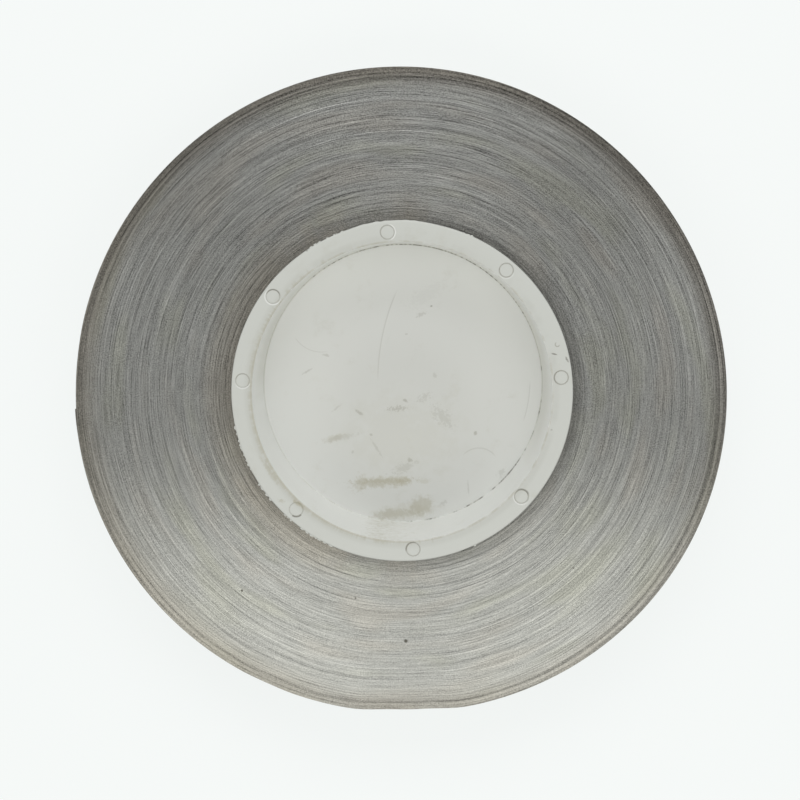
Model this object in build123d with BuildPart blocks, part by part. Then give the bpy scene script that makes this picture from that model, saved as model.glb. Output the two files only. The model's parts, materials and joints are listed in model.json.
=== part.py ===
from build123d import *
import math
import os

os.makedirs("parts", exist_ok=True)

# A pancake coil of nickel strip, wound on a white moulded plastic core.
# It lies flat: the coil's axis is Z, the floor is Z = 0, and the open side of the core faces up.

# Strip
strip_width = 38.0
strip_thickness = 0.3

# Coil, wound out from the core. Its outside lies a little off the core's axis.
coil_build = 72.5
coil_offset = 1.3
coil_offset_angle = 226.0
turn_bands = 9
band_stagger = 0.25
stagger_step = 3
stagger_cycle = 8

# Free end of the strip on the outside, and its inner end against the core
tail_angle = 183.4
tail_sweep = 4.5
gap_sweep = 3.0
start_angle = 290.6
start_sweep = 6.6
start_gap = 0.45

# Core
core_dia = 160.0
winding_clearance = 0.1
rim_width = 9.7
rim_proud = 1.0
web_thickness = 3.0
rim_round = 0.8
lip_bevel = 0.4

# Round marks of the ejector pins on the rim, not quite evenly spaced
pin_dia = 7.0
pin_depth = 0.2
pin_inset = 5.3
pin_angles = (5.3, 49.5, 95.1, 143.4, 176.0, 228.3, 274.2, 318.8)

# Sizes that follow from the ones above
core_radius = core_dia / 2
core_width = strip_width + rim_proud
recess_radius = core_radius - rim_width
recess_depth = core_width - web_thickness
bore_radius = core_radius + winding_clearance
coil_radius = bore_radius + coil_build
band_width = coil_build / turn_bands
pin_circle_radius = core_radius - pin_inset


def at(radius, angle):
    """The point at a radius and an angle in degrees about the coil's axis."""
    return Vector(radius * math.cos(math.radians(angle)), radius * math.sin(math.radians(angle)))


def band_shift(band):
    """How far a band of turns has slipped up along the axis. The first lies on the floor."""
    return band_stagger * (band * stagger_step % stagger_cycle) / (stagger_cycle - 1)


def last_lap_outline():
    """The coil's outer edge seen along its axis.

    Two half circles with their centres a little apart make one lap of the spiral. The free end has
    sprung straight, so its tip stands off the lap below.
    """
    centre = at(coil_offset, coil_offset_angle)
    merge_angle = tail_angle + tail_sweep
    quarter_step = strip_thickness / 4
    merge = centre + at(coil_radius + strip_thickness, merge_angle)
    tip = merge + at(coil_radius * math.radians(tail_sweep), merge_angle - 90)
    tip_under = tip - at(strip_thickness, merge_angle)
    near_centre = centre + at(quarter_step, merge_angle)
    far_centre = centre - at(quarter_step, merge_angle)
    CenterArc(near_centre, coil_radius + 3 * quarter_step, merge_angle, 180)
    lap_below = CenterArc(far_centre, coil_radius + quarter_step, merge_angle + 180, 180 - gap_sweep)
    Line(lap_below @ 1, tip_under)
    Line(tip_under, tip)
    Line(tip, merge)


# Coil: bands of turns that have slipped a little along the axis, so that they show as rings on
# both ends. The last band ends in the last lap and the strip's free end.
with BuildPart() as nickel_strip_coil:
    with BuildSketch(Plane.XZ):
        for band in range(turn_bands - 1):
            with Locations((bore_radius + (band + 0.5) * band_width, band_shift(band) + strip_width / 2)):
                Rectangle(band_width, strip_width)
    revolve(axis=Axis.Z)
    with BuildSketch():
        with BuildLine():
            last_lap_outline()
        make_face()
        Circle(coil_radius - band_width, mode=Mode.SUBTRACT)
    extrude(amount=strip_width)
    # The wedge of air beside the strip's inner end
    with BuildSketch():
        with BuildLine():
            Polyline(
                at(bore_radius - winding_clearance, start_angle),
                at(bore_radius + start_gap, start_angle),
                at(bore_radius - winding_clearance, start_angle + start_sweep),
                close=True,
            )
        make_face()
    extrude(amount=strip_width + band_stagger, mode=Mode.SUBTRACT)

# Core: a moulded cup, turned about the axis, with a rim, a straight wall and a closed web
with BuildPart() as plastic_core:
    with BuildSketch(Plane.XZ):
        with Locations((core_radius / 2, web_thickness / 2)):
            Rectangle(core_radius, web_thickness)
        with Locations((core_radius - rim_width / 2, core_width / 2)):
            Rectangle(rim_width, core_width)
    revolve(axis=Axis.Z)
    lip = edges().filter_by(GeomType.CIRCLE).group_by(Axis.Z)[-1].sort_by(SortBy.RADIUS)[0]
    chamfer(lip, lip_bevel)
    rim_edge = edges().filter_by(GeomType.CIRCLE).group_by(Axis.Z)[-1].sort_by(SortBy.RADIUS)[-1]
    fillet(rim_edge, rim_round)
    with BuildSketch(Plane.XY.offset(core_width)):
        for angle in pin_angles:
            with Locations(at(pin_circle_radius, angle)):
                Circle(pin_dia / 2)
    extrude(amount=-pin_depth, mode=Mode.SUBTRACT)

nickel_strip_coil.part.label = "nickel_strip_coil"
plastic_core.part.label = "plastic_core"
export_step(nickel_strip_coil.part, "parts/nickel_strip_coil.step")
export_step(plastic_core.part, "parts/plastic_core.step")
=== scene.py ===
import bmesh
import bpy
import json
import math
import random
from mathutils import Matrix, Vector, noise


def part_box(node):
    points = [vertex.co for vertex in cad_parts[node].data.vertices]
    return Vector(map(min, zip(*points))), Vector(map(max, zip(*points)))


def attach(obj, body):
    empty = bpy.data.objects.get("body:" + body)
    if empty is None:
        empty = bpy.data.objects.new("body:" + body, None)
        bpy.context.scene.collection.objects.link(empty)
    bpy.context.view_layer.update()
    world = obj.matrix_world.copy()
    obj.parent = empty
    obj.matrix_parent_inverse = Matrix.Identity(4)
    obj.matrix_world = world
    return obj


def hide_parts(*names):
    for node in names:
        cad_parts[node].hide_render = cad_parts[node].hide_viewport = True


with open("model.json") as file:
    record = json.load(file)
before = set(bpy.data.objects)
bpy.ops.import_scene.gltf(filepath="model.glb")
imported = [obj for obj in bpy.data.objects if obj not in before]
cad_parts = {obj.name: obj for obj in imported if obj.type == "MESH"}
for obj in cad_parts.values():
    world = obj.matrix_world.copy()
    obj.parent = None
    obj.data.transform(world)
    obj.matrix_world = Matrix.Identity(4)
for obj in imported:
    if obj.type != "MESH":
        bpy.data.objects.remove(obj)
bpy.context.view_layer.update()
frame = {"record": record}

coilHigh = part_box("nickel_strip_coil")[1]
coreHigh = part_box("plastic_core")[1]
recess = next(m for m in frame["record"]["mounts"] if m["name"] == "recess")
mm = 0.001
coreRadius = coreHigh.x
recessRadius = recess["dims"]["r_mm"] * mm
usualSharp = 35  # degrees past which an edge is shaded sharp
print("frame: coil", tuple(coilHigh), "core", tuple(coreHigh))


# places and meshes

def polar(radius, degrees, z=0.0):
    angle = math.radians(degrees)
    return Vector((radius * math.cos(angle), radius * math.sin(angle), z))


def ease(value, low, high):
    # 0 at low, 1 at high, smooth between
    share = min(1.0, max(0.0, (value - low) / (high - low)))
    return share * share * (3 - 2 * share)


def awayFrom(degrees, centre):
    # how many degrees lie between two directions
    return abs((degrees - centre + 180) % 360 - 180)


def window(degrees, centre, half):
    # 1 near a direction, 0 a little past its half width
    return 1 - ease(awayFrom(degrees, centre), 0.3 * half, 1.2 * half)


def sectionLine(bm, corners, closed=True):
    # an outline in the XZ plane, ready to spin round Z
    verts = [bm.verts.new((x, 0, z)) for x, z in corners]
    pairs = list(zip(verts, verts[1:] + verts[:1] if closed else verts[1:]))
    return [bm.edges.new(pair) for pair in pairs]


def spinRound(bm, steps, start=0.0):
    bmesh.ops.rotate(bm, verts=bm.verts[:], matrix=Matrix.Rotation(math.radians(start), 3, "Z"))
    bmesh.ops.spin(bm, geom=bm.verts[:] + bm.edges[:], cent=(0, 0, 0), axis=(0, 0, 1),
                   angle=math.radians(360), steps=steps, use_merge=True, use_duplicate=False)


def finishMesh(name, bm, materials, sharpDegrees=usualSharp):
    bmesh.ops.remove_doubles(bm, verts=bm.verts[:], dist=0.001 * mm)
    bmesh.ops.recalc_face_normals(bm, faces=bm.faces[:])
    mesh = bpy.data.meshes.new(name)
    bm.to_mesh(mesh)
    bm.free()
    piece = bpy.data.objects.new(name, mesh)
    bpy.context.scene.collection.objects.link(piece)
    for material in materials:
        mesh.materials.append(material)
    mesh.shade_smooth()
    mesh.set_sharp_from_angle(angle=math.radians(sharpDegrees))
    return piece


def standFor(piece, node):
    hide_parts(node)
    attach(piece, "root")


# node trees

def addNode(tree, kind, label="", **settings):
    made = tree.nodes.new(kind)
    made.label = label
    for key, value in settings.items():
        setattr(made, key, value)
    return made


def feed(tree, socket, value):
    # a link where the value is a socket, a plain number or colour otherwise
    if isinstance(value, bpy.types.NodeSocket):
        tree.links.new(value, socket)
    else:
        socket.default_value = value


def calc(tree, operation, a, b=0.0, c=0.0):
    made = addNode(tree, "ShaderNodeMath", operation=operation)
    for socket, value in zip(made.inputs, (a, b, c)):
        feed(tree, socket, value)
    return made.outputs[0]


def vectorCalc(tree, operation, a, b=(0, 0, 0)):
    made = addNode(tree, "ShaderNodeVectorMath", operation=operation)
    feed(tree, made.inputs[0], a)
    if operation == "SCALE":
        feed(tree, made.inputs["Scale"], b)
    elif operation not in ("LENGTH", "NORMALIZE"):
        feed(tree, made.inputs[1], b)
    return made.outputs["Value" if operation in ("LENGTH", "DOT_PRODUCT") else "Vector"]


def remap(tree, value, low, high, toLow=0.0, toHigh=1.0):
    made = addNode(tree, "ShaderNodeMapRange", interpolation_type="SMOOTHSTEP")
    for socket, item in zip(made.inputs, (value, low, high, toLow, toHigh)):
        feed(tree, socket, item)
    return made.outputs[0]


def mixColour(tree, mask, a, b, mode="MIX"):
    made = addNode(tree, "ShaderNodeMix", data_type="RGBA", blend_type=mode)
    for socket, item in zip((made.inputs[0], made.inputs[6], made.inputs[7]), (mask, a, b)):
        feed(tree, socket, item)
    return made.outputs[2]


def noiseValue(tree, vector, scale, detail=2.0, rough=0.5, label=""):
    made = addNode(tree, "ShaderNodeTexNoise", label)
    feed(tree, made.inputs["Vector"], vector)
    feed(tree, made.inputs["Scale"], scale)
    made.inputs["Detail"].default_value = detail
    made.inputs["Roughness"].default_value = rough
    return made.outputs["Fac"]


def joinXYZ(tree, x=0.0, y=0.0, z=0.0):
    made = addNode(tree, "ShaderNodeCombineXYZ")
    for socket, value in zip(made.inputs, (x, y, z)):
        feed(tree, socket, value)
    return made.outputs[0]


def newGroup(name, inputs, outputs):
    group = bpy.data.node_groups.new(name, "ShaderNodeTree")
    for title, kind, value in inputs:
        socket = group.interface.new_socket(name=title, in_out="INPUT", socket_type=kind)
        if value is not None:
            socket.default_value = value
    for title, kind in outputs:
        group.interface.new_socket(name=title, in_out="OUTPUT", socket_type=kind)
    return group, group.nodes.new("NodeGroupInput").outputs, group.nodes.new("NodeGroupOutput").inputs


def useGroup(tree, group, label="", **values):
    made = addNode(tree, "ShaderNodeGroup", label)
    made.node_tree = group
    for title, value in values.items():
        feed(tree, made.inputs[title], value)
    return made.outputs


number, vectorKind = "NodeSocketFloat", "NodeSocketVector"


# shared effects

def makeTurnStreaks():
    # streaks that run round the axis: long along the strip, fine across it, and no seam
    group, given, result = newGroup(
        "turnStreaks",
        [("Place", vectorKind, None), ("Turn", number, 0.1), ("Fineness", number, 500.0),
         ("Breaks", number, 3.0), ("Shift", number, 0.0)],
        [("Value", number)])
    flat = vectorCalc(group, "MULTIPLY", given["Place"], (1, 1, 0))
    around = vectorCalc(group, "SCALE", vectorCalc(group, "NORMALIZE", flat), given["Breaks"])
    across = calc(group, "MULTIPLY_ADD", given["Turn"], given["Fineness"], given["Shift"])
    place = vectorCalc(group, "ADD", around, joinXYZ(group, z=across))
    feed(group, result["Value"], noiseValue(group, place, 1.0, 1.0, 0.55, "streak noise"))
    return group


def makeSoilPatch():
    # one soft, ragged patch: a stain, a speck or a pit
    group, given, result = newGroup(
        "soilPatch",
        [("Place", vectorKind, None), ("Centre", vectorKind, (0, 0, 0)), ("Length", number, 0.01),
         ("Width", number, 0.004), ("Turn", number, 0.0), ("Ragged", number, 0.5),
         ("Grain", number, 400.0)],
        [("Mask", number)])
    local = vectorCalc(group, "SUBTRACT", given["Place"], given["Centre"])
    turned = addNode(group, "ShaderNodeVectorRotate", rotation_type="Z_AXIS")
    feed(group, turned.inputs["Vector"], local)
    feed(group, turned.inputs["Angle"], calc(group, "MULTIPLY", given["Turn"], -1.0))
    size = joinXYZ(group, given["Length"], given["Width"], 1.0)
    flat = vectorCalc(group, "MULTIPLY", vectorCalc(group, "DIVIDE", turned.outputs[0], size), (2, 2, 0))
    reach = vectorCalc(group, "LENGTH", flat)
    rough = noiseValue(group, given["Place"], given["Grain"], 3.0, 0.65, "ragged edge")
    push = calc(group, "MULTIPLY", calc(group, "SUBTRACT", rough, 0.5), given["Ragged"])
    edge = calc(group, "MULTIPLY_ADD", push, 4.0, reach)
    feed(group, result["Mask"], remap(group, edge, 1.15, 0.35))
    return group


def makeRingSoil():
    # dirt along a circle about the axis, broken up round it, within a range of heights; also used for
    # painted shade
    group, given, result = newGroup(
        "ringSoilAndShade",
        [("Place", vectorKind, None), ("Radius", number, 0.07), ("Width", number, 0.001),
         ("Height", number, 0.0), ("Reach", number, 1.0), ("Breaks", number, 12.0),
         ("Cover", number, 0.5), ("Side", number, 0.0), ("Sided", number, 0.0)],
        [("Mask", number)])
    flat = vectorCalc(group, "MULTIPLY", given["Place"], (1, 1, 0))
    apart = calc(group, "SUBTRACT", vectorCalc(group, "LENGTH", flat), given["Radius"])
    band = remap(group, calc(group, "DIVIDE", calc(group, "ABSOLUTE", apart), given["Width"]), 1.0, 0.2)
    parts = addNode(group, "ShaderNodeSeparateXYZ")
    feed(group, parts.inputs[0], given["Place"])
    rise = calc(group, "ABSOLUTE", calc(group, "SUBTRACT", parts.outputs["Z"], given["Height"]))
    tall = remap(group, calc(group, "DIVIDE", rise, given["Reach"]), 1.0, 0.3)
    way = vectorCalc(group, "NORMALIZE", flat)
    patches = noiseValue(group, vectorCalc(group, "SCALE", way, given["Breaks"]), 1.0, 4.0, 0.6, "broken")
    facing = joinXYZ(group, calc(group, "COSINE", given["Side"]), calc(group, "SINE", given["Side"]))
    lean = calc(group, "MULTIPLY", vectorCalc(group, "DOT_PRODUCT", way, facing), given["Sided"])
    patches = calc(group, "MULTIPLY_ADD", lean, 0.2, patches)
    limit = calc(group, "SUBTRACT", 0.85, calc(group, "MULTIPLY", given["Cover"], 0.7))
    some = remap(group, patches, limit, calc(group, "ADD", limit, 0.22))
    feed(group, result["Mask"], calc(group, "MULTIPLY", calc(group, "MULTIPLY", band, tall), some))
    return group


def makeCircleLine():
    # a thin circle round a point, stronger on one side: used for a groove's dirt, the arc of a scratch, and
    # painted highlights and shadows round the pins' marks
    group, given, result = newGroup(
        "circleLine",
        [("Place", vectorKind, None), ("Centre", vectorKind, (0, 0, 0)), ("Radius", number, 0.0035),
         ("Width", number, 0.0003), ("Side", number, 0.0), ("Spread", number, 2.0),
         ("Rest", number, 0.0)],
        [("Mask", number)])
    away = vectorCalc(group, "MULTIPLY", vectorCalc(group, "SUBTRACT", given["Place"], given["Centre"]),
                      (1, 1, 0))
    apart = calc(group, "SUBTRACT", vectorCalc(group, "LENGTH", away), given["Radius"])
    line = remap(group, calc(group, "DIVIDE", calc(group, "ABSOLUTE", apart), given["Width"]), 1.0, 0.0)
    facing = joinXYZ(group, calc(group, "COSINE", given["Side"]), calc(group, "SINE", given["Side"]))
    lean = vectorCalc(group, "DOT_PRODUCT", vectorCalc(group, "NORMALIZE", away), facing)
    edge = calc(group, "COSINE", given["Spread"])
    full = calc(group, "MULTIPLY_ADD", calc(group, "SUBTRACT", 1.0, edge), 0.6, edge)
    near = remap(group, lean, edge, full)
    feed(group, result["Mask"], calc(group, "MULTIPLY", line, calc(group, "MAXIMUM", near, given["Rest"])))
    return group


turnStreaks = makeTurnStreaks()
soilPatch = makeSoilPatch()
ringSoilAndShade = makeRingSoil()
circleLine = makeCircleLine()
print("shared effects: turn streaks, soil patches, ring soil, circle lines")


def startMaterial(name):
    material = bpy.data.materials.new(name)
    material.use_nodes = True
    tree = material.node_tree
    shader = tree.nodes["Principled BSDF"]
    place = addNode(tree, "ShaderNodeTexCoord").outputs["Object"]
    return material, tree, shader, place


def addBump(tree, shader, height, distance, strength=1.0):
    bump = addNode(tree, "ShaderNodeBump")
    bump.inputs["Strength"].default_value = strength
    bump.inputs["Distance"].default_value = distance
    feed(tree, bump.inputs["Height"], height)
    feed(tree, shader.inputs["Normal"], bump.outputs[0])


def stainAndPaintedLight(tree, colour, mask, strength, tone):
    return mixColour(tree, calc(tree, "MULTIPLY", mask, strength), colour, tone)


def greyOf(tree, value):
    made = addNode(tree, "ShaderNodeCombineColor")
    for channel in made.inputs:
        feed(tree, channel, value)
    return made.outputs[0]


# nickel strip: a few hundred slit edges side by side

strip = {
    "grey": (0.393, 0.397, 0.381, 1.0),
    "warm": (0.411, 0.395, 0.360, 1.0),
    "olive": (0.397, 0.401, 0.346, 1.0),
    "inner": (0.200, 0.198, 0.183, 1.0),  # painted shade: first turns, against the core
    "tarnish": (0.345, 0.316, 0.262, 1.0),
    "outer": (0.226, 0.210, 0.182, 1.0),  # last turns, darker, more so towards +Y
    "brown": (0.315, 0.284, 0.222, 1.0),  # and their browned side
    "pit": (0.120, 0.115, 0.100, 1.0),
    "firstTurns": (coreRadius + 8.0 * mm, coreRadius + 0.5 * mm),
    "firstCover": 0.75,
    "outerTurns": (140.5 * mm, 151.0 * mm),
    "outerCover": (0.20, 0.72),  # how much more of it lies towards +Y, and how much all round
    "clouds": (1 / (14 * mm), 2.2),
    "cloudCover": 0.6,
    # tarnished rings: radius, width, breaks, cover, side in degrees, how one-sided, tone and strength
    "rings": {
        "tarnish": (coreRadius + 4 * mm, 14 * mm, 1.6, 0.62, 185, 1.2, "tarnish", 0.50),
        "browned side": (151 * mm, 15 * mm, 1.2, 0.45, 222, 1.6, "brown", 0.16),
    },
    "facing": 0.07,  # painted shade: how much darker the edges are towards +Y
    "contrast": 0.16,  # how much stronger the streaks are there
    "roughness": 0.325,
    "anisotropy": 0.62,  # the edges lie like fine grooves round the axis, so gloss spreads across them
    # streaks: how many per metre across the turns, breaks round the axis, strength in the colour
    "streaks": {
        "single turns": (1 / (0.34 * mm), 9.0, 1.10),
        "long turns": (1 / (0.38 * mm), 1.2, 1.25),
        "small groups": (1 / (1.3 * mm), 1.6, 0.22),
        "bands": (1 / (4.5 * mm), 0.9, 0.11),
    },
    "grain": 1.75,
    "grainSize": 0.46 * mm,
    "lastTurns": (1 / (1.1 * mm), 0.45, 1.5),  # darker and lighter laps in the handled part
    "lastTurnsFrom": (144 * mm, 148.5 * mm),
    "relief": 0.03 * mm,
}

# pits in the edges: place in mm, size in mm
pits = {
    "low pit": ((2.0, -118.5), 2.2),
    "left pit": ((-75.8, -94.6), 1.4),
    "inner pit": ((-21.9, -97.9), 1.0),
    "right pit": ((80.8, -82.9), 0.9),
}
pitEdge = {"Ragged": 0.15, "Grain": 900.0}


def addRing(tree, place, colour, label):
    radius, width, breaks, cover, side, sided, tone, strength = strip["rings"][label]
    mask = useGroup(tree, ringSoilAndShade, label, Place=place, Radius=radius, Width=width, Breaks=breaks,
                    Cover=cover, Side=math.radians(side), Sided=sided)["Mask"]
    return stainAndPaintedLight(tree, colour, mask, strength, strip[tone])


def makeSlitEdges():
    material, tree, shader, place = startMaterial("slitEdges")
    turn = addNode(tree, "ShaderNodeAttribute", "turn", attribute_name="turn").outputs["Fac"]
    way = vectorCalc(tree, "NORMALIZE", vectorCalc(tree, "MULTIPLY", place, (1, 1, 0)))
    upward = vectorCalc(tree, "DOT_PRODUCT", way, (0, 1, 0))
    tone = 0.0
    relief = 0.0
    for index, (label, (fineness, breaks, strength)) in enumerate(strip["streaks"].items()):
        value = useGroup(tree, turnStreaks, label, Place=place, Turn=turn, Fineness=fineness,
                         Breaks=breaks, Shift=13.0 * index)["Value"]
        centred = calc(tree, "SUBTRACT", value, 0.5)
        tone = calc(tree, "MULTIPLY_ADD", centred, strength, tone)
        relief = calc(tree, "ADD", centred, relief)
    fineness, breaks = strip["clouds"]
    clouds = useGroup(tree, turnStreaks, "warm clouds", Place=place, Turn=turn, Fineness=fineness,
                      Breaks=breaks, Shift=50.0)["Value"]
    cover = strip["cloudCover"]
    colour = mixColour(tree, remap(tree, clouds, 0.50, 0.72, 0.0, cover), strip["grey"], strip["warm"])
    colour = mixColour(tree, remap(tree, clouds, 0.48, 0.28, 0.0, cover), colour, strip["olive"])
    # painted shade: the first turns are darkened where the core shades them
    inner = remap(tree, turn, *strip["firstTurns"], 0.0, strip["firstCover"])
    colour = mixColour(tree, inner, colour, strip["inner"])
    colour = addRing(tree, place, colour, "tarnish")
    outer = calc(tree, "MULTIPLY", remap(tree, turn, *strip["outerTurns"]),
                 calc(tree, "MULTIPLY_ADD", upward, *strip["outerCover"]))
    colour = mixColour(tree, outer, colour, strip["outer"])
    colour = addRing(tree, place, colour, "browned side")
    fineness, breaks, strength = strip["lastTurns"]
    laps = useGroup(tree, turnStreaks, "last turns", Place=place, Turn=turn, Fineness=fineness,
                    Breaks=breaks, Shift=70.0)["Value"]
    laps = calc(tree, "MULTIPLY", calc(tree, "SUBTRACT", laps, 0.5), strength)
    tone = calc(tree, "MULTIPLY_ADD", laps, remap(tree, turn, *strip["lastTurnsFrom"]), tone)
    grain = noiseValue(tree, place, 1 / strip["grainSize"], 1.0, 0.5, "grain")
    tone = calc(tree, "MULTIPLY_ADD", calc(tree, "SUBTRACT", grain, 0.5), strip["grain"], tone)
    tone = calc(tree, "MULTIPLY", tone, calc(tree, "MULTIPLY_ADD", upward, strip["contrast"], 1.0))
    # painted shade: the edges darker towards +Y
    tone = calc(tree, "ADD", tone, calc(tree, "MULTIPLY_ADD", upward, -strip["facing"], 1.0))
    colour = mixColour(tree, 1.0, colour, greyOf(tree, tone), "MULTIPLY")
    for label, ((x, y), size) in pits.items():
        hole = useGroup(tree, soilPatch, label, Place=place, Centre=(x * mm, y * mm, 0), Length=size * mm,
                        Width=size * mm, **pitEdge)["Mask"]
        colour = mixColour(tree, hole, colour, strip["pit"])
    feed(tree, shader.inputs["Base Color"], colour)
    shader.inputs["Metallic"].default_value = 1.0
    shader.inputs["Roughness"].default_value = strip["roughness"]
    shader.inputs["Anisotropic"].default_value = strip["anisotropy"]
    feed(tree, shader.inputs["Tangent"], way)
    addBump(tree, shader, relief, strip["relief"])
    return material


# the broad outer face of the last turn, as rolled
rolled = {
    "dull": (0.460, 0.450, 0.420, 1.0),
    "light": (0.600, 0.590, 0.555, 1.0),
    "handled": (0.360, 0.345, 0.305, 1.0),
    "handledCover": 0.35,
    "lines": (40, 40, 2600),  # per metre: long along the strip and fine across it
    "smudges": 35.0,
    "roughness": (0.24, 0.38),
    "relief": 0.006 * mm,
}


def makeStripFace():
    material, tree, shader, place = startMaterial("stripFace")
    stretched = vectorCalc(tree, "MULTIPLY", place, rolled["lines"])
    lines = noiseValue(tree, stretched, 1.0, 3.0, 0.6, "rolling lines")
    smudge = noiseValue(tree, place, rolled["smudges"], 3.0, 0.6, "handling")
    colour = mixColour(tree, lines, rolled["dull"], rolled["light"])
    handledShare = remap(tree, smudge, 0.5, 0.75, 0.0, rolled["handledCover"])
    colour = mixColour(tree, handledShare, colour, rolled["handled"])
    feed(tree, shader.inputs["Base Color"], colour)
    shader.inputs["Metallic"].default_value = 1.0
    feed(tree, shader.inputs["Roughness"], remap(tree, smudge, 0.35, 0.75, *rolled["roughness"]))
    addBump(tree, shader, lines, rolled["relief"])
    return material


# white moulded plastic, with what it has picked up, and painted light and shade in its recess and round the
# pins' marks

plastic = {
    "white": (0.645, 0.663, 0.627, 1.0),
    "shade": (0.632, 0.644, 0.606, 1.0),
    "handled": (0.640, 0.648, 0.620, 1.0),  # the middle and low part of the web
    "paintedLightWeb": (0.912, 0.922, 0.897, 1.0),  # painted light: the rest of the web, much lighter than the rim against the recess's shade
    "wall": (0.825, 0.837, 0.811, 1.0),  # painted light: the recess's wall, lighter than the rim against the recess's shade, and painted highlights round the pins' marks
    "soilAndShade": (0.420, 0.395, 0.285, 1.0),
    "brown": (0.400, 0.370, 0.255, 1.0),
    "grey": (0.380, 0.375, 0.325, 1.0),
    "dark": (0.130, 0.120, 0.095, 1.0),
    "clouds": 24.0,
    "dust": 60.0,
    "dustCover": 0.16,
    "roughness": 0.40,
    "grain": 900.0,
    "relief": 0.02 * mm,
    "reliefShare": 0.3,
}

# where the tones change: by distance from the axis, and by height
zones = {
    "inside": (recessRadius + 0.3 * mm, recessRadius + 0.1 * mm),
    "wall": (recessRadius - 0.6 * mm, recessRadius - 0.2 * mm),
    "rim": (recessRadius + 0.2 * mm, recessRadius + 0.5 * mm),
    "webTop": (1.0 * mm, 2.0 * mm),
    "rimTop": (37.0 * mm, 38.0 * mm),
}

# dirt and painted shade along circles: radius past the recess's wall, width, height and reach in mm, breaks,
# cover, its side in degrees and how one-sided it is, tone and strength
soilsAndShade = {
    # painted shade: the wall darker low down and on its +Y side
    "wall": (0.0, 0.9, 3.0, 38.0, 1.5, 0.75, 92, 2.0, "soilAndShade", 0.19),
    "corner line": (0.0, 0.6, 3.0, 1.0, 9.0, 0.80, 110, 0.6, "soilAndShade", 0.20),
    "corner top": (0.0, 0.65, 3.0, 1.6, 42.0, 0.14, 78, 1.9, "dark", 0.85),
    "corner low": (0.0, 0.60, 3.0, 1.5, 13.0, 0.12, 313, 1.8, "dark", 0.90),
    "lip": (0.3, 0.8, 38.9, 1.0, 10.0, 0.72, 200, 0.5, "soilAndShade", 0.38),
    "lip dirt": (0.9, 1.6, 38.9, 1.0, 26.0, 0.48, 205, 0.9, "brown", 0.30),
    # painted shade: a soft darker band on the rim just past the lip
    "lip painted shade": (1.6, 2.8, 38.9, 1.0, 4.0, 0.80, 235, 0.8, "grey", 0.16),
}

# where the web keeps its handled tone: its middle, and from and to which distance it turns to the painted
# light tone
handled = {"middle": (0, -20 * mm, 0), "from": 22 * mm, "to": 85 * mm}

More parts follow.
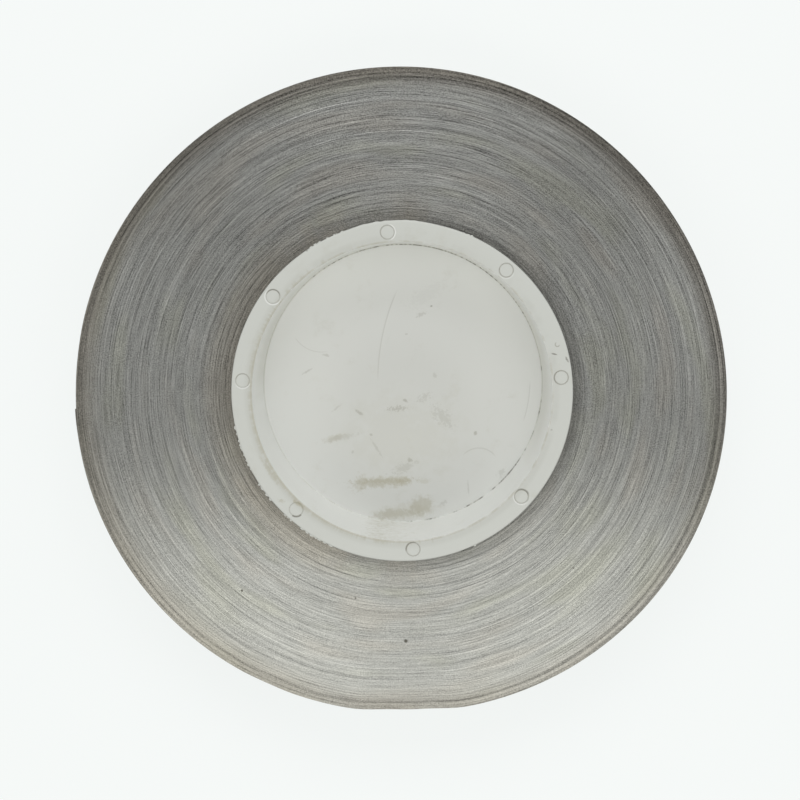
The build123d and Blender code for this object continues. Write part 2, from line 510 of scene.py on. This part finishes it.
# stains on the web and the rim: middle in mm, length, width, turn in degrees, ragged, grain, tone
# and strength
marks = {
    "streak": ((-11.5, -50.2), 30.0, 6.6, 3, 0.50, 420, "brown", 0.44),
    "streak's left end": ((-21.6, -50.6), 11.0, 7.4, 70, 0.60, 600, "brown", 0.26),
    "streak's right end": ((0.6, -49.6), 10.0, 5.4, 8, 0.50, 600, "brown", 0.46),
    "streak's core": ((-9.0, -49.4), 30.0, 3.4, 3, 1.00, 700, "brown", 0.34),
    "streak's trail": ((11.0, -49.5), 10.0, 2.6, 0, 0.70, 500, "brown", 0.22),
    "low streak": ((-4.0, -66.6), 26.0, 6.2, 4, 0.55, 480, "brown", 0.36),
    "low streak's end": ((9.2, -62.4), 15.0, 10.5, 25, 0.45, 420, "brown", 0.38),
    "low streak's haze": ((2.0, -65.0), 38.0, 11.0, 10, 0.45, 300, "brown", 0.20),
    "left smear": ((-35.0, -28.0), 12.0, 4.2, 14, 0.45, 500, "brown", 0.30),
    "left smear's tail": ((-31.0, -27.4), 20.0, 3.0, 12, 0.70, 500, "grey", 0.25),
    "middle haze": ((0.0, -26.0), 62.0, 46.0, 0, 0.55, 130, "soilAndShade", 0.10),
    "speck above": ((1.4, -8.6), 3.4, 1.8, -35, 0.40, 800, "grey", 0.62),
    "specks above": ((-2.6, -12.6), 10.0, 2.6, 5, 1.20, 1100, "grey", 0.50),
    "speck left": ((-21.9, -14.6), 5.0, 1.9, -40, 0.50, 800, "grey", 0.55),
    "speck right": ((36.7, -25.0), 2.2, 2.6, 0, 0.40, 800, "grey", 0.60),
    "smudge right": ((20.5, -17.0), 15.0, 7.0, -50, 1.00, 800, "grey", 0.28),
    "smudge near": ((10.5, -7.0), 8.0, 3.5, 30, 1.00, 800, "grey", 0.28),
    "speck high": ((16.2, 4.4), 2.4, 3.0, 0, 0.60, 900, "grey", 0.30),
    "dot low left": ((-15.9, -25.9), 1.9, 1.6, 0, 0.40, 900, "grey", 0.55),
    "stroke low": ((-13.2, -32.6), 11.0, 1.5, -57, 0.55, 700, "grey", 0.34),
    "dot far left": ((-25.3, -34.7), 2.0, 2.0, 0, 0.50, 900, "grey", 0.34),
    "spot over streak": ((3.7, -38.8), 3.6, 2.2, -20, 0.50, 800, "grey", 0.50),
    "smear over streak": ((1.0, -42.6), 14.0, 5.0, 25, 1.00, 800, "grey", 0.28),
    "stroke left": ((-33.2, -12.2), 8.0, 1.3, 40, 0.60, 700, "grey", 0.28),
    "dash": ((-48.2, 6.2), 7.0, 1.2, 32, 0.50, 700, "grey", 0.34),
    "dash above": ((-38.6, 14.4), 4.2, 1.5, -8, 0.50, 700, "grey", 0.36),
    "top dot": ((14.4, 39.2), 1.2, 1.1, 0, 0.20, 900, "grey", 0.70),
    "top smudge": ((9.0, 34.9), 6.0, 2.2, 20, 0.95, 1000, "grey", 0.30),
    "top haze": ((12.0, 45.0), 22.0, 9.0, 35, 1.00, 700, "grey", 0.06),
    "dot on axis": ((1.9, 25.1), 2.0, 1.1, 0, 0.40, 900, "grey", 0.34),
    "low right smudge": ((20.8, -60.4), 5.0, 2.4, 40, 0.70, 700, "grey", 0.26),
    "right stroke": ((33.2, -52.6), 8.4, 0.9, -86, 0.40, 700, "grey", 0.28),
    "lip grime": ((-62.2, -37.0), 17.0, 2.4, -58, 0.60, 600, "brown", 0.34),
    "pin grime": ((-48.6, -52.6), 7.5, 2.2, -38, 0.55, 700, "brown", 0.60),
    "pin grime left": ((-56.6, -51.0), 3.4, 2.2, 0, 0.70, 800, "brown", 0.34),
    "rim smudge": ((50.0, -45.0), 6.0, 3.0, 40, 0.90, 600, "grey", 0.26),
    "rim scrape": ((71.0, 18.3), 3.4, 0.9, -15, 0.35, 900, "dark", 0.75),
    "rim edge mark": ((76.9, 15.8), 3.6, 1.2, -62, 0.50, 900, "dark", 0.60),
    "rim tick": ((63.5, -50.1), 2.2, 0.7, -35, 0.20, 900, "dark", 0.60),
    "rim dot left": ((-44.0, 66.3), 1.2, 1.0, 0, 0.20, 900, "dark", 0.55),
    "rim dot right": ((70.0, -17.2), 1.2, 1.0, 0, 0.20, 900, "grey", 0.60),
}

# thin scratches: centre and radius of the arc in mm, its middle and half spread in degrees, width, strength
scratches = {
    "long scratch": ((98.0, 2.0), 110.5, 168.0, 13.0, 0.55, 0.30),
    "left scratch": ((-41.0, 31.5), 15.5, 246.0, 38.0, 0.40, 0.22),
    "right scratch": ((-6.0, 2.0), 70.0, 351.0, 9.0, 0.45, 0.22),
    "low right arc": ((38.5, -43.0), 10.5, 88.0, 55.0, 0.55, 0.30),
    "rim hook": ((72.4, 22.8), 1.0, 235.0, 140.0, 0.40, 0.90),
}

# marks of the ejector pins, at the part's angles and radius but shallower
pins = {
    "angles": (5.3, 49.5, 95.1, 143.4, 176.0, 228.3, 274.2, 318.8),
    "radius": 74.7 * mm,
    "size": 7.0 * mm,
    "depth": 0.12 * mm,
    "groove": 0.14 * mm,
    "grooveDepth": 0.28 * mm,
    # each mark's dirt: its side and half spread in degrees, its share all round and its strength
    "dirt": ((180, 120, 0.80, 0.85), (235, 110, 0.70, 0.80), (190, 110, 0.70, 0.65),
             (80, 100, 0.35, 0.75), (85, 120, 0.40, 0.62), (275, 50, 0.30, 0.95),
             (130, 80, 0.55, 1.00), (75, 95, 0.50, 1.00)),
    # painted highlights and painted shadows along the marks' edges: the mark's angle, then side, half
    # spread, radius past the mark's own in mm, tone and strength
    "steps": ((49.5, 275, 70, 0.25, "wall", 0.5), (95.1, 5, 80, 0.25, "wall", 1.0),
              (143.4, 230, 130, 0.25, "wall", 1.0), (176.0, 275, 75, 0.25, "wall", 0.7),
              (318.8, 240, 90, 0.25, "wall", 0.7), (5.3, 180, 60, -0.10, "dark", 0.25),
              (143.4, 85, 75, -0.10, "dark", 0.40), (228.3, 275, 45, 0.0, "dark", 0.65),
              (274.2, 135, 70, 0.0, "dark", 0.45), (318.8, 72, 62, 0.10, "dark", 0.60)),
    "rise": 0.4 * mm,  # how far the marks lie off their circle, towards +Y
    "line": 0.50 * mm,  # width of their dirt and edges
    "lean": (0.2, 0.9),  # degrees by which a mark is out of level
    "cutAbove": 1 * mm,
    "sides": 48,
}


def pinPlace(degrees):
    return polar(pins["radius"], degrees) + Vector((0, pins["rise"], 0))


def makeCorePlastic():
    material, tree, shader, place = startMaterial("corePlastic")
    clouds = noiseValue(tree, place, plastic["clouds"], 3.0, 0.55, "uneven white")
    colour = mixColour(tree, clouds, plastic["white"], plastic["shade"])
    inward = vectorCalc(tree, "LENGTH", vectorCalc(tree, "MULTIPLY", place, (1, 1, 0)))
    inside = remap(tree, inward, *zones["inside"])
    # painted light: away from its handled middle the web is painted lighter, and the wall too, against the
    # recess's shade
    flat = vectorCalc(tree, "MULTIPLY", vectorCalc(tree, "SUBTRACT", place, handled["middle"]), (1, 1, 0))
    paintedLightMask = remap(tree, vectorCalc(tree, "LENGTH", flat), handled["from"], handled["to"])
    beside = remap(tree, inward, *zones["wall"])
    webTonePaintedLight = mixColour(tree, paintedLightMask, plastic["handled"], plastic["paintedLightWeb"])
    colour = mixColour(tree, inside, colour, mixColour(tree, beside, webTonePaintedLight, plastic["wall"]))
    parts = addNode(tree, "ShaderNodeSeparateXYZ")
    feed(tree, parts.inputs[0], place)
    height = parts.outputs["Z"]
    onWeb = calc(tree, "MULTIPLY", inside, remap(tree, height, *zones["webTop"]))
    onRim = calc(tree, "MULTIPLY", remap(tree, inward, *zones["rim"]), remap(tree, height, *zones["rimTop"]))
    dust = noiseValue(tree, place, plastic["dust"], 5.0, 0.7, "thin dust")
    dusty = remap(tree, dust, 0.56, 0.78, 0.0, plastic["dustCover"])
    colour = mixColour(tree, dusty, colour, plastic["soilAndShade"])
    for label, (past, width, height, reach, breaks, cover, side, sided, tone, strength) in soilsAndShade.items():
        mask = useGroup(tree, ringSoilAndShade, label, Place=place, Radius=recessRadius + past * mm,
                        Width=width * mm, Height=height * mm, Reach=reach * mm, Breaks=breaks,
                        Cover=cover, Side=math.radians(side), Sided=sided)["Mask"]
        colour = stainAndPaintedLight(tree, colour, mask, strength, plastic[tone])
    for label, ((x, y), length, width, turned, ragged, grain, tone, strength) in marks.items():
        mask = useGroup(tree, soilPatch, label, Place=place, Centre=(x * mm, y * mm, 0),
                        Length=length * mm, Width=width * mm, Turn=math.radians(turned),
                        Ragged=ragged, Grain=grain)["Mask"]
        mask = calc(tree, "MULTIPLY", mask, onRim if math.hypot(x, y) * mm > recessRadius else onWeb)
        colour = stainAndPaintedLight(tree, colour, mask, strength, plastic[tone])
    for label, ((x, y), radius, side, spread, width, strength) in scratches.items():
        mask = useGroup(tree, circleLine, label, Place=place, Centre=(x * mm, y * mm, 0),
                        Radius=radius * mm, Width=width * mm, Side=math.radians(side),
                        Spread=math.radians(spread))["Mask"]
        mask = calc(tree, "MULTIPLY", mask, onRim if label == "rim hook" else onWeb)
        colour = stainAndPaintedLight(tree, colour, mask, strength, plastic["grey"])
    for degrees, (side, spread, rest, strength) in zip(pins["angles"], pins["dirt"]):
        mask = useGroup(tree, circleLine, "pin mark", Place=place, Centre=pinPlace(degrees),
                        Radius=pins["size"] / 2 - pins["grooveDepth"], Width=pins["line"],
                        Side=math.radians(side), Spread=math.radians(spread), Rest=rest)["Mask"]
        mask = calc(tree, "MULTIPLY", mask, onRim)
        colour = stainAndPaintedLight(tree, colour, mask, strength, plastic["grey"])
    # painted highlights and painted shadows round the pins' marks
    for degrees, side, spread, past, tone, strength in pins["steps"]:
        mask = useGroup(tree, circleLine, "pin painted light and shade", Place=place, Centre=pinPlace(degrees),
                        Radius=pins["size"] / 2 + past * mm, Width=pins["line"],
                        Side=math.radians(side), Spread=math.radians(spread))["Mask"]
        mask = calc(tree, "MULTIPLY", mask, onRim)
        colour = stainAndPaintedLight(tree, colour, mask, strength, plastic[tone])
    feed(tree, shader.inputs["Base Color"], colour)
    shader.inputs["Roughness"].default_value = plastic["roughness"]
    grain = noiseValue(tree, place, plastic["grain"], 2.0, 0.5, "moulded grain")
    addBump(tree, shader, grain, plastic["relief"], plastic["reliefShare"])
    return material


slitEdges = makeSlitEdges()
stripFace = makeStripFace()
corePlastic = makeCorePlastic()
print("materials: slit edges, strip face, core plastic")


# the coil: one wound body whose ends show the turns, and real laps at its outside and in its bore

coil = {
    "mean": 152.35 * mm,  # mean radius of the outline
    "top": 38.1 * mm,
    "thick": 0.3 * mm,
    "gap": 0.015 * mm,
    "topLines": 230,
    "underLines": 70,
    "segments": 256,
    "slip": 0.12 * mm,  # how far groups of turns stand off the plain end
    "lap": 0.028 * mm,  # and single turns
    "pitches": (5.5 * mm, 1.7 * mm, 0.45 * mm),  # of the groups, the steps between them and the laps
    "sag": 0.12 * mm,  # how far the outermost turns have slid down
    "sagFrom": 0.93,  # share of the build past which they have
    "underLift": 0.05 * mm,
    "spread": 1.3,  # power by which the outline's shape fades towards the core
    "sharp": 60,
    "lapSharp": 30,
    # the outline isn't quite round: how much, and the direction of a high point
    "lobes": ((1.82 * mm, 236.4), (0.40 * mm, 338.2), (0.445 * mm, 324.8)),
    # places pressed flat: depth, direction and half width
    "flats": ((1.50 * mm, 271.4, 9.0), (0.20 * mm, 245.0, 4.0), (0.15 * mm, 176.0, 8.0)),
}

freeEnd = {
    "laps": 3,
    "tip": 183.0,
    "straight": 6.75,  # degrees over which the free end stands off the lap below
    "spring": 0.22 * mm,
    "drops": (1.0, 0.9, 1.0),  # share of the sag for each lap
    "wave": 0.06 * mm,
}

innerEnd = {
    "laps": 2,
    "start": 290.6,
    "climb": 6.6,  # degrees over which the next lap climbs on to the strip's end
    "clearance": 0.12 * mm,
    "drop": 0.05 * mm,
    "wave": 0.08 * mm,
}


def outlineShift(degrees):
    # how far the coil's outline lies outside its mean radius
    shift = sum(size * math.cos(math.radians(count * (degrees - high)))
                for count, (size, high) in enumerate(coil["lobes"], 1))
    return shift - sum(depth * window(degrees, centre, half) for depth, centre, half in coil["flats"])


def turnHeight(radius, degrees, seed):
    # groups of turns have slipped along the axis, and every turn is a little high or low
    around = polar(1, degrees)
    groupPitch, stepPitch, lapPitch = coil["pitches"]
    group = noise.noise(around * 0.7 + Vector((0, 0, radius / groupPitch + seed)))
    step = noise.noise(around * 1.1 + Vector((3.1, 0, math.floor(radius / stepPitch) * 2.37 + seed)))
    lap = noise.noise(around * 2.2 + Vector((0, 5.7, radius / lapPitch + seed)))
    return coil["slip"] * (0.6 * group + 0.5 * step) + coil["lap"] * lap


def makeCoilBody():
    bore = coreRadius + innerEnd["clearance"] + innerEnd["laps"] * coil["thick"]
    outside = coil["mean"] - (freeEnd["laps"] - 0.5) * coil["thick"]
    bm = bmesh.new()
    under, _, top, _ = sectionLine(
        bm, ((bore, 0), (outside, 0), (outside, coil["top"]), (bore, coil["top"])))
    bmesh.ops.subdivide_edges(bm, edges=[under], cuts=coil["underLines"])
    bmesh.ops.subdivide_edges(bm, edges=[top], cuts=coil["topLines"])
    spinRound(bm, coil["segments"], freeEnd["tip"])
    turn = bm.verts.layers.float.new("turn")
    for vert in bm.verts:
        radius = math.hypot(vert.co.x, vert.co.y)
        degrees = math.degrees(math.atan2(vert.co.y, vert.co.x))
        share = min(1.0, max(0.0, (radius - bore) / (outside - bore)))
        vert[turn] = radius
        if vert.co.z > coil["top"] / 2:
            slid = coil["sag"] * ease(share, coil["sagFrom"], 1.0)
            vert.co.z += turnHeight(radius, degrees, 0.0) - slid
        else:
            vert.co.z += max(0.0, turnHeight(radius, degrees, 40.0) + coil["underLift"])
        wider = radius + outlineShift(degrees) * share ** coil["spread"]
        vert.co.x *= wider / radius
        vert.co.y *= wider / radius
    return finishMesh("coilTurns", bm, [slitEdges], coil["sharp"])


def windLaps(name, laps, start, clockwise, radiusAt, heightAt):
    # the strip's section spun into an open helix, so that height tells the step, then laid in place
    apart = 0.1
    steps = laps * coil["segments"]
    way = -1 if clockwise else 1
    bm = bmesh.new()
    thick = coil["thick"] - coil["gap"]
    sectionLine(bm, ((1, 0), (1 + thick, 0), (1 + thick, coil["top"]), (1, coil["top"])))
    bmesh.ops.spin(bm, geom=bm.verts[:] + bm.edges[:], cent=(0, 0, 0), axis=(0, 0, 1),
                   dvec=(0, 0, apart), angle=math.radians(way * 360 * laps), steps=steps,
                   use_merge=False, use_duplicate=False)
    ends = [edge for edge in bm.edges if edge.is_boundary]
    bmesh.ops.holes_fill(bm, edges=ends, sides=4)
    turn = bm.verts.layers.float.new("turn")
    for vert in bm.verts:
        step = math.floor(vert.co.z / apart + 0.01)
        isTop = vert.co.z - step * apart > coil["top"] / 2
        isOuter = math.hypot(vert.co.x, vert.co.y) > 1 + thick / 2
        degrees = start + way * step * 360 / coil["segments"]
        radius = radiusAt(step, degrees) + (thick if isOuter else 0)
        vert.co = polar(radius, degrees, heightAt(step, degrees) if isTop else 0.0)
        vert[turn] = radius
    piece = finishMesh(name, bm, [slitEdges, stripFace], coil["lapSharp"])
    for face in piece.data.polygons:
        face.material_index = 1 if abs(face.normal.z) < 0.5 else 0
    return piece


def lastLapRadius(step, degrees):
    # inner face of the strip, counted in from its free end
    perLap = coil["segments"]
    radius = coil["mean"] + outlineShift(degrees) - coil["thick"] * (0.5 + step / perLap)
    fromTip = step * 360 / perLap
    return radius + freeEnd["spring"] * (1 - ease(fromTip, 0, freeEnd["straight"]))


def firstLapRadius(step, degrees):
    # inner face of the strip, counted out from its end on the core
    lap, along = divmod(step, coil["segments"])
    left = 360 - along * 360 / coil["segments"]
    climbed = lap + 1 - ease(left, 0, innerEnd["climb"])
    if lap == 0 and along == 0:
        climbed = 0
    return coreRadius + innerEnd["clearance"] + coil["thick"] * climbed


def lastLapHeight(step, degrees):
    lap = step // coil["segments"]
    drop = coil["sag"] * freeEnd["drops"][min(lap, 2)]
    return coil["top"] - drop + freeEnd["wave"] * noise.noise(polar(1.3, degrees, 4.0 * lap))


def firstLapHeight(step, degrees):
    lap = step // coil["segments"]
    wave = innerEnd["wave"] * noise.noise(polar(1.2, degrees, 9.0 + 3.0 * lap))
    return coil["top"] - innerEnd["drop"] + wave


coilTurns = makeCoilBody()
lastLaps = windLaps("lastLaps", freeEnd["laps"], freeEnd["tip"], False, lastLapRadius, lastLapHeight)
firstLaps = windLaps("firstLaps", innerEnd["laps"], innerEnd["start"], True, firstLapRadius, firstLapHeight)
for piece in (coilTurns, lastLaps, firstLaps):
    standFor(piece, "nickel_strip_coil")
    print("coil:", piece.name, len(piece.data.polygons), "faces")


# the core: a moulded cup with a rim, a straight wall, a closed web and the pins' marks

core = {
    "rimTop": coreHigh.z - 0.05 * mm,
    "web": 3.0 * mm,
    "edgeRound": 0.8 * mm,
    "lipRound": 0.4 * mm,
    "cornerRound": 0.3 * mm,
    "footRound": 0.5 * mm,
    "segments": 256,
    "flash": (0.75 * mm, 94.0, 15.0),  # flash along the rim's edge: width, direction, half width
    "flashFrom": 0.7 * mm,
    "burrs": ((101, 123, 12), (191, 246, 38), (64, 70, 3), (290, 300, 2)),  # from, to, how many
    "burrSize": ((0.25, 0.60), (0.35, 1.20), 0.18),  # half sizes outward, along the edge and up, in mm
    "burrPlace": (-0.1, 0.12),  # past the rim's edge, in mm
    "burrTurn": 12,
    "burrRise": 0.3 * mm,
}


def makeCore():
    bm = bmesh.new()
    sectionLine(bm, (
        (0, 0), (coreRadius, 0), (coreRadius, core["rimTop"]), (recessRadius, core["rimTop"]),
        (recessRadius, core["web"]), (0, core["web"])), closed=False)
    corners = [bm.verts[:][index] for index in (1, 2, 3, 4)]
    rounds = (core["footRound"], core["edgeRound"], core["lipRound"], core["cornerRound"])
    for corner, size in zip(corners, rounds):
        bmesh.ops.bevel(bm, geom=[corner], offset=size, offset_type="OFFSET", affect="VERTICES",
                        segments=4, profile=0.5, material=-1)
    return bm


def makeCutter():
    # one disc for each mark, deeper along its edge where the pin's clearance has left a groove
    bm = bmesh.new()
    random.seed(11)
    for degrees in pins["angles"]:
        size = pins["size"] / 2
        deep = pins["grooveDepth"]
        above = pins["cutAbove"]
        made = bmesh.ops.create_cone(bm, cap_ends=True, segments=pins["sides"], radius1=size - deep,
                                     radius2=size + above, depth=above + deep)["verts"]
        bmesh.ops.translate(bm, verts=made, vec=(0, 0, (above - deep) / 2))
        faces = {face for vert in made for face in vert.link_faces}
        floor = min(faces, key=lambda face: face.calc_center_median().z)
        bmesh.ops.inset_region(bm, faces=[floor], thickness=pins["groove"], use_even_offset=True)
        bmesh.ops.inset_region(bm, faces=[floor], thickness=pins["groove"], use_even_offset=True)
        bmesh.ops.translate(bm, verts=floor.verts[:], vec=(0, 0, deep - pins["depth"]))
        disc = {vert for face in bm.faces for vert in face.verts if vert.co.length < 3 * size}
        lean = Matrix.Rotation(math.radians(random.uniform(*pins["lean"])), 3,
                               polar(1, random.uniform(0, 360)))
        bmesh.ops.rotate(bm, verts=list(disc), cent=(0, 0, 0), matrix=lean)
        place = pinPlace(degrees) + Vector((0, 0, core["rimTop"]))
        bmesh.ops.translate(bm, verts=list(disc), vec=place)
    return finishMesh("pinCutter", bm, [])


def carve(piece, cutter):
    cut = piece.modifiers.new("carve", "BOOLEAN")
    cut.object = cutter
    cut.operation = "DIFFERENCE"
    cut.solver = "EXACT"
    carved = bpy.data.meshes.new_from_object(piece.evaluated_get(bpy.context.evaluated_depsgraph_get()))
    carved.name = piece.name
    piece.modifiers.clear()
    piece.data = carved
    bpy.data.objects.remove(cutter)
    carved.shade_smooth()
    carved.set_sharp_from_angle(angle=math.radians(usualSharp))


def makeCup():
    bm = makeCore()
    spinRound(bm, core["segments"])
    bmesh.ops.remove_doubles(bm, verts=bm.verts[:], dist=0.001 * mm)
    width, centre, half = core["flash"]
    for vert in bm.verts:
        radius = math.hypot(vert.co.x, vert.co.y)
        degrees = math.degrees(math.atan2(vert.co.y, vert.co.x))
        if radius > coreRadius - core["flashFrom"] and vert.co.z > coil["top"]:
            ragged = 0.75 + 0.5 * noise.noise(polar(60, degrees))
            wider = radius + width * window(degrees, centre, half) * ragged
            vert.co.x *= wider / radius
            vert.co.y *= wider / radius
    return finishMesh("coreCup", bm, [corePlastic])


def makeBurrs():
    # shreds of plastic along the rim's edge
    bm = bmesh.new()
    random.seed(7)
    for first, last, count in core["burrs"]:
        for _ in range(count):
            made = bmesh.ops.create_icosphere(bm, subdivisions=1, radius=1.0)["verts"]
            outward, along, tall = core["burrSize"]
            size = (random.uniform(*outward) * mm, random.uniform(*along) * mm, tall * mm)
            bmesh.ops.scale(bm, verts=made, vec=size)
            degrees = random.uniform(first, last)
            outTo = coreRadius + random.uniform(*core["burrPlace"]) * mm
            place = polar(outTo, degrees, coil["top"] + core["burrRise"])
            turned = degrees + random.uniform(-core["burrTurn"], core["burrTurn"])
            spread = Matrix.Rotation(math.radians(turned), 3, "Z")
            bmesh.ops.rotate(bm, verts=made, matrix=spread)
            bmesh.ops.translate(bm, verts=made, vec=place)
    return finishMesh("rimBurrs", bm, [corePlastic])


coreCup = makeCup()
carve(coreCup, makeCutter())
rimBurrs = makeBurrs()
for piece in (coreCup, rimBurrs):
    standFor(piece, "plastic_core")
    print("core:", piece.name, len(piece.data.polygons), "faces")


# floor, light and camera

studio = {
    "floorSize": 6.0,
    "floorGlow": (0.905, 0.932, 0.924, 1.0),
    "glowShare": 0.826,
    "floorGrey": (0.196, 0.2018, 0.1993, 1.0),
    "around": (0.455, 0.455, 0.449, 1.0),  # light from everywhere
    "seen": (0.90, 0.91, 0.905, 1.0),  # what a camera sees past the floor
}

# soft panels: place, aim, size, brightness and colour
daylight, warmLight = (1.0, 1.0, 1.0), (1.0, 0.995, 0.93)
panels = {
    "lowLeft": ((-0.42, -0.72, 1.00), (-0.42, -0.72, 0.0), (0.80, 0.72), 1.25, warmLight),
    "lowRight": ((0.42, -0.72, 1.00), (0.42, -0.72, 0.0), (0.80, 0.72), 1.19, warmLight),
    "far": ((0.0, 1.25, 1.05), (0, 0, 0), (1.6, 0.7), 2.8, daylight),
    "right": ((1.15, 0.15, 0.95), (0, 0, 0), (0.6, 0.9), 0.96, daylight),
    "left": ((-1.15, 0.15, 0.95), (0, 0, 0), (0.6, 0.9), 0.60, daylight),
}


def makeFloor():
    bm = bmesh.new()
    bmesh.ops.create_grid(bm, x_segments=1, y_segments=1, size=studio["floorSize"] / 2)
    material, _, shader, _ = startMaterial("paleFloor")
    shader.inputs["Base Color"].default_value = studio["floorGrey"]
    shader.inputs["Roughness"].default_value = 1.0
    shader.inputs["Specular IOR Level"].default_value = 0.0
    shader.inputs["Emission Color"].default_value = studio["floorGlow"]
    shader.inputs["Emission Strength"].default_value = studio["glowShare"]
    finishMesh("paleFloor", bm, [material])


def makeLights():
    world = bpy.data.worlds.new("studioWorld")
    bpy.context.scene.world = world
    world.use_nodes = True
    tree = world.node_tree
    path = addNode(tree, "ShaderNodeLightPath")
    feed(tree, tree.nodes["Background"].inputs["Color"],
         mixColour(tree, path.outputs["Is Camera Ray"], studio["around"], studio["seen"]))
    for name, (place, aim, size, brightness, colour) in panels.items():
        lamp = bpy.data.lights.new(name, "AREA")
        lamp.shape = "RECTANGLE"
        lamp.size, lamp.size_y = size
        lamp.energy = brightness * math.pi * size[0] * size[1]
        lamp.color = colour
        holder = bpy.data.objects.new(name, lamp)
        holder.location = place
        holder.rotation_euler = (Vector(aim) - Vector(place)).to_track_quat("-Z", "Y").to_euler()
        holder.visible_camera = False
        bpy.context.scene.collection.objects.link(holder)


lens = {
    "place": (6.87 * mm, 58.12 * mm, 495.836 * mm),
    "aim": (-0.75 * mm, 34.10 * mm, 39.0 * mm),
    "focal": 44.234,
    "sensor": 36.0,
    "rise": -0.10,
}


def makeCamera():
    data = bpy.data.cameras.new("photoCamera")
    data.lens = lens["focal"]
    data.sensor_width = lens["sensor"]
    data.shift_y = lens["rise"]
    data.clip_start = 0.01
    data.clip_end = 50
    camera = bpy.data.objects.new("photoCamera", data)
    bpy.context.scene.collection.objects.link(camera)
    place, aim = Vector(lens["place"]), Vector(lens["aim"])
    ahead = (aim - place).normalized()
    right = ahead.cross(Vector((0, 1, 0))).normalized()
    up = right.cross(ahead)
    camera.matrix_world = Matrix.Translation(place) @ Matrix((right, up, -ahead)).transposed().to_4x4()
    bpy.context.scene.camera = camera


makeFloor()
makeLights()
makeCamera()
bpy.context.scene.view_settings.view_transform = "Standard"
bpy.context.scene.view_settings.look = "None"
print("studio: floor, lights, camera")
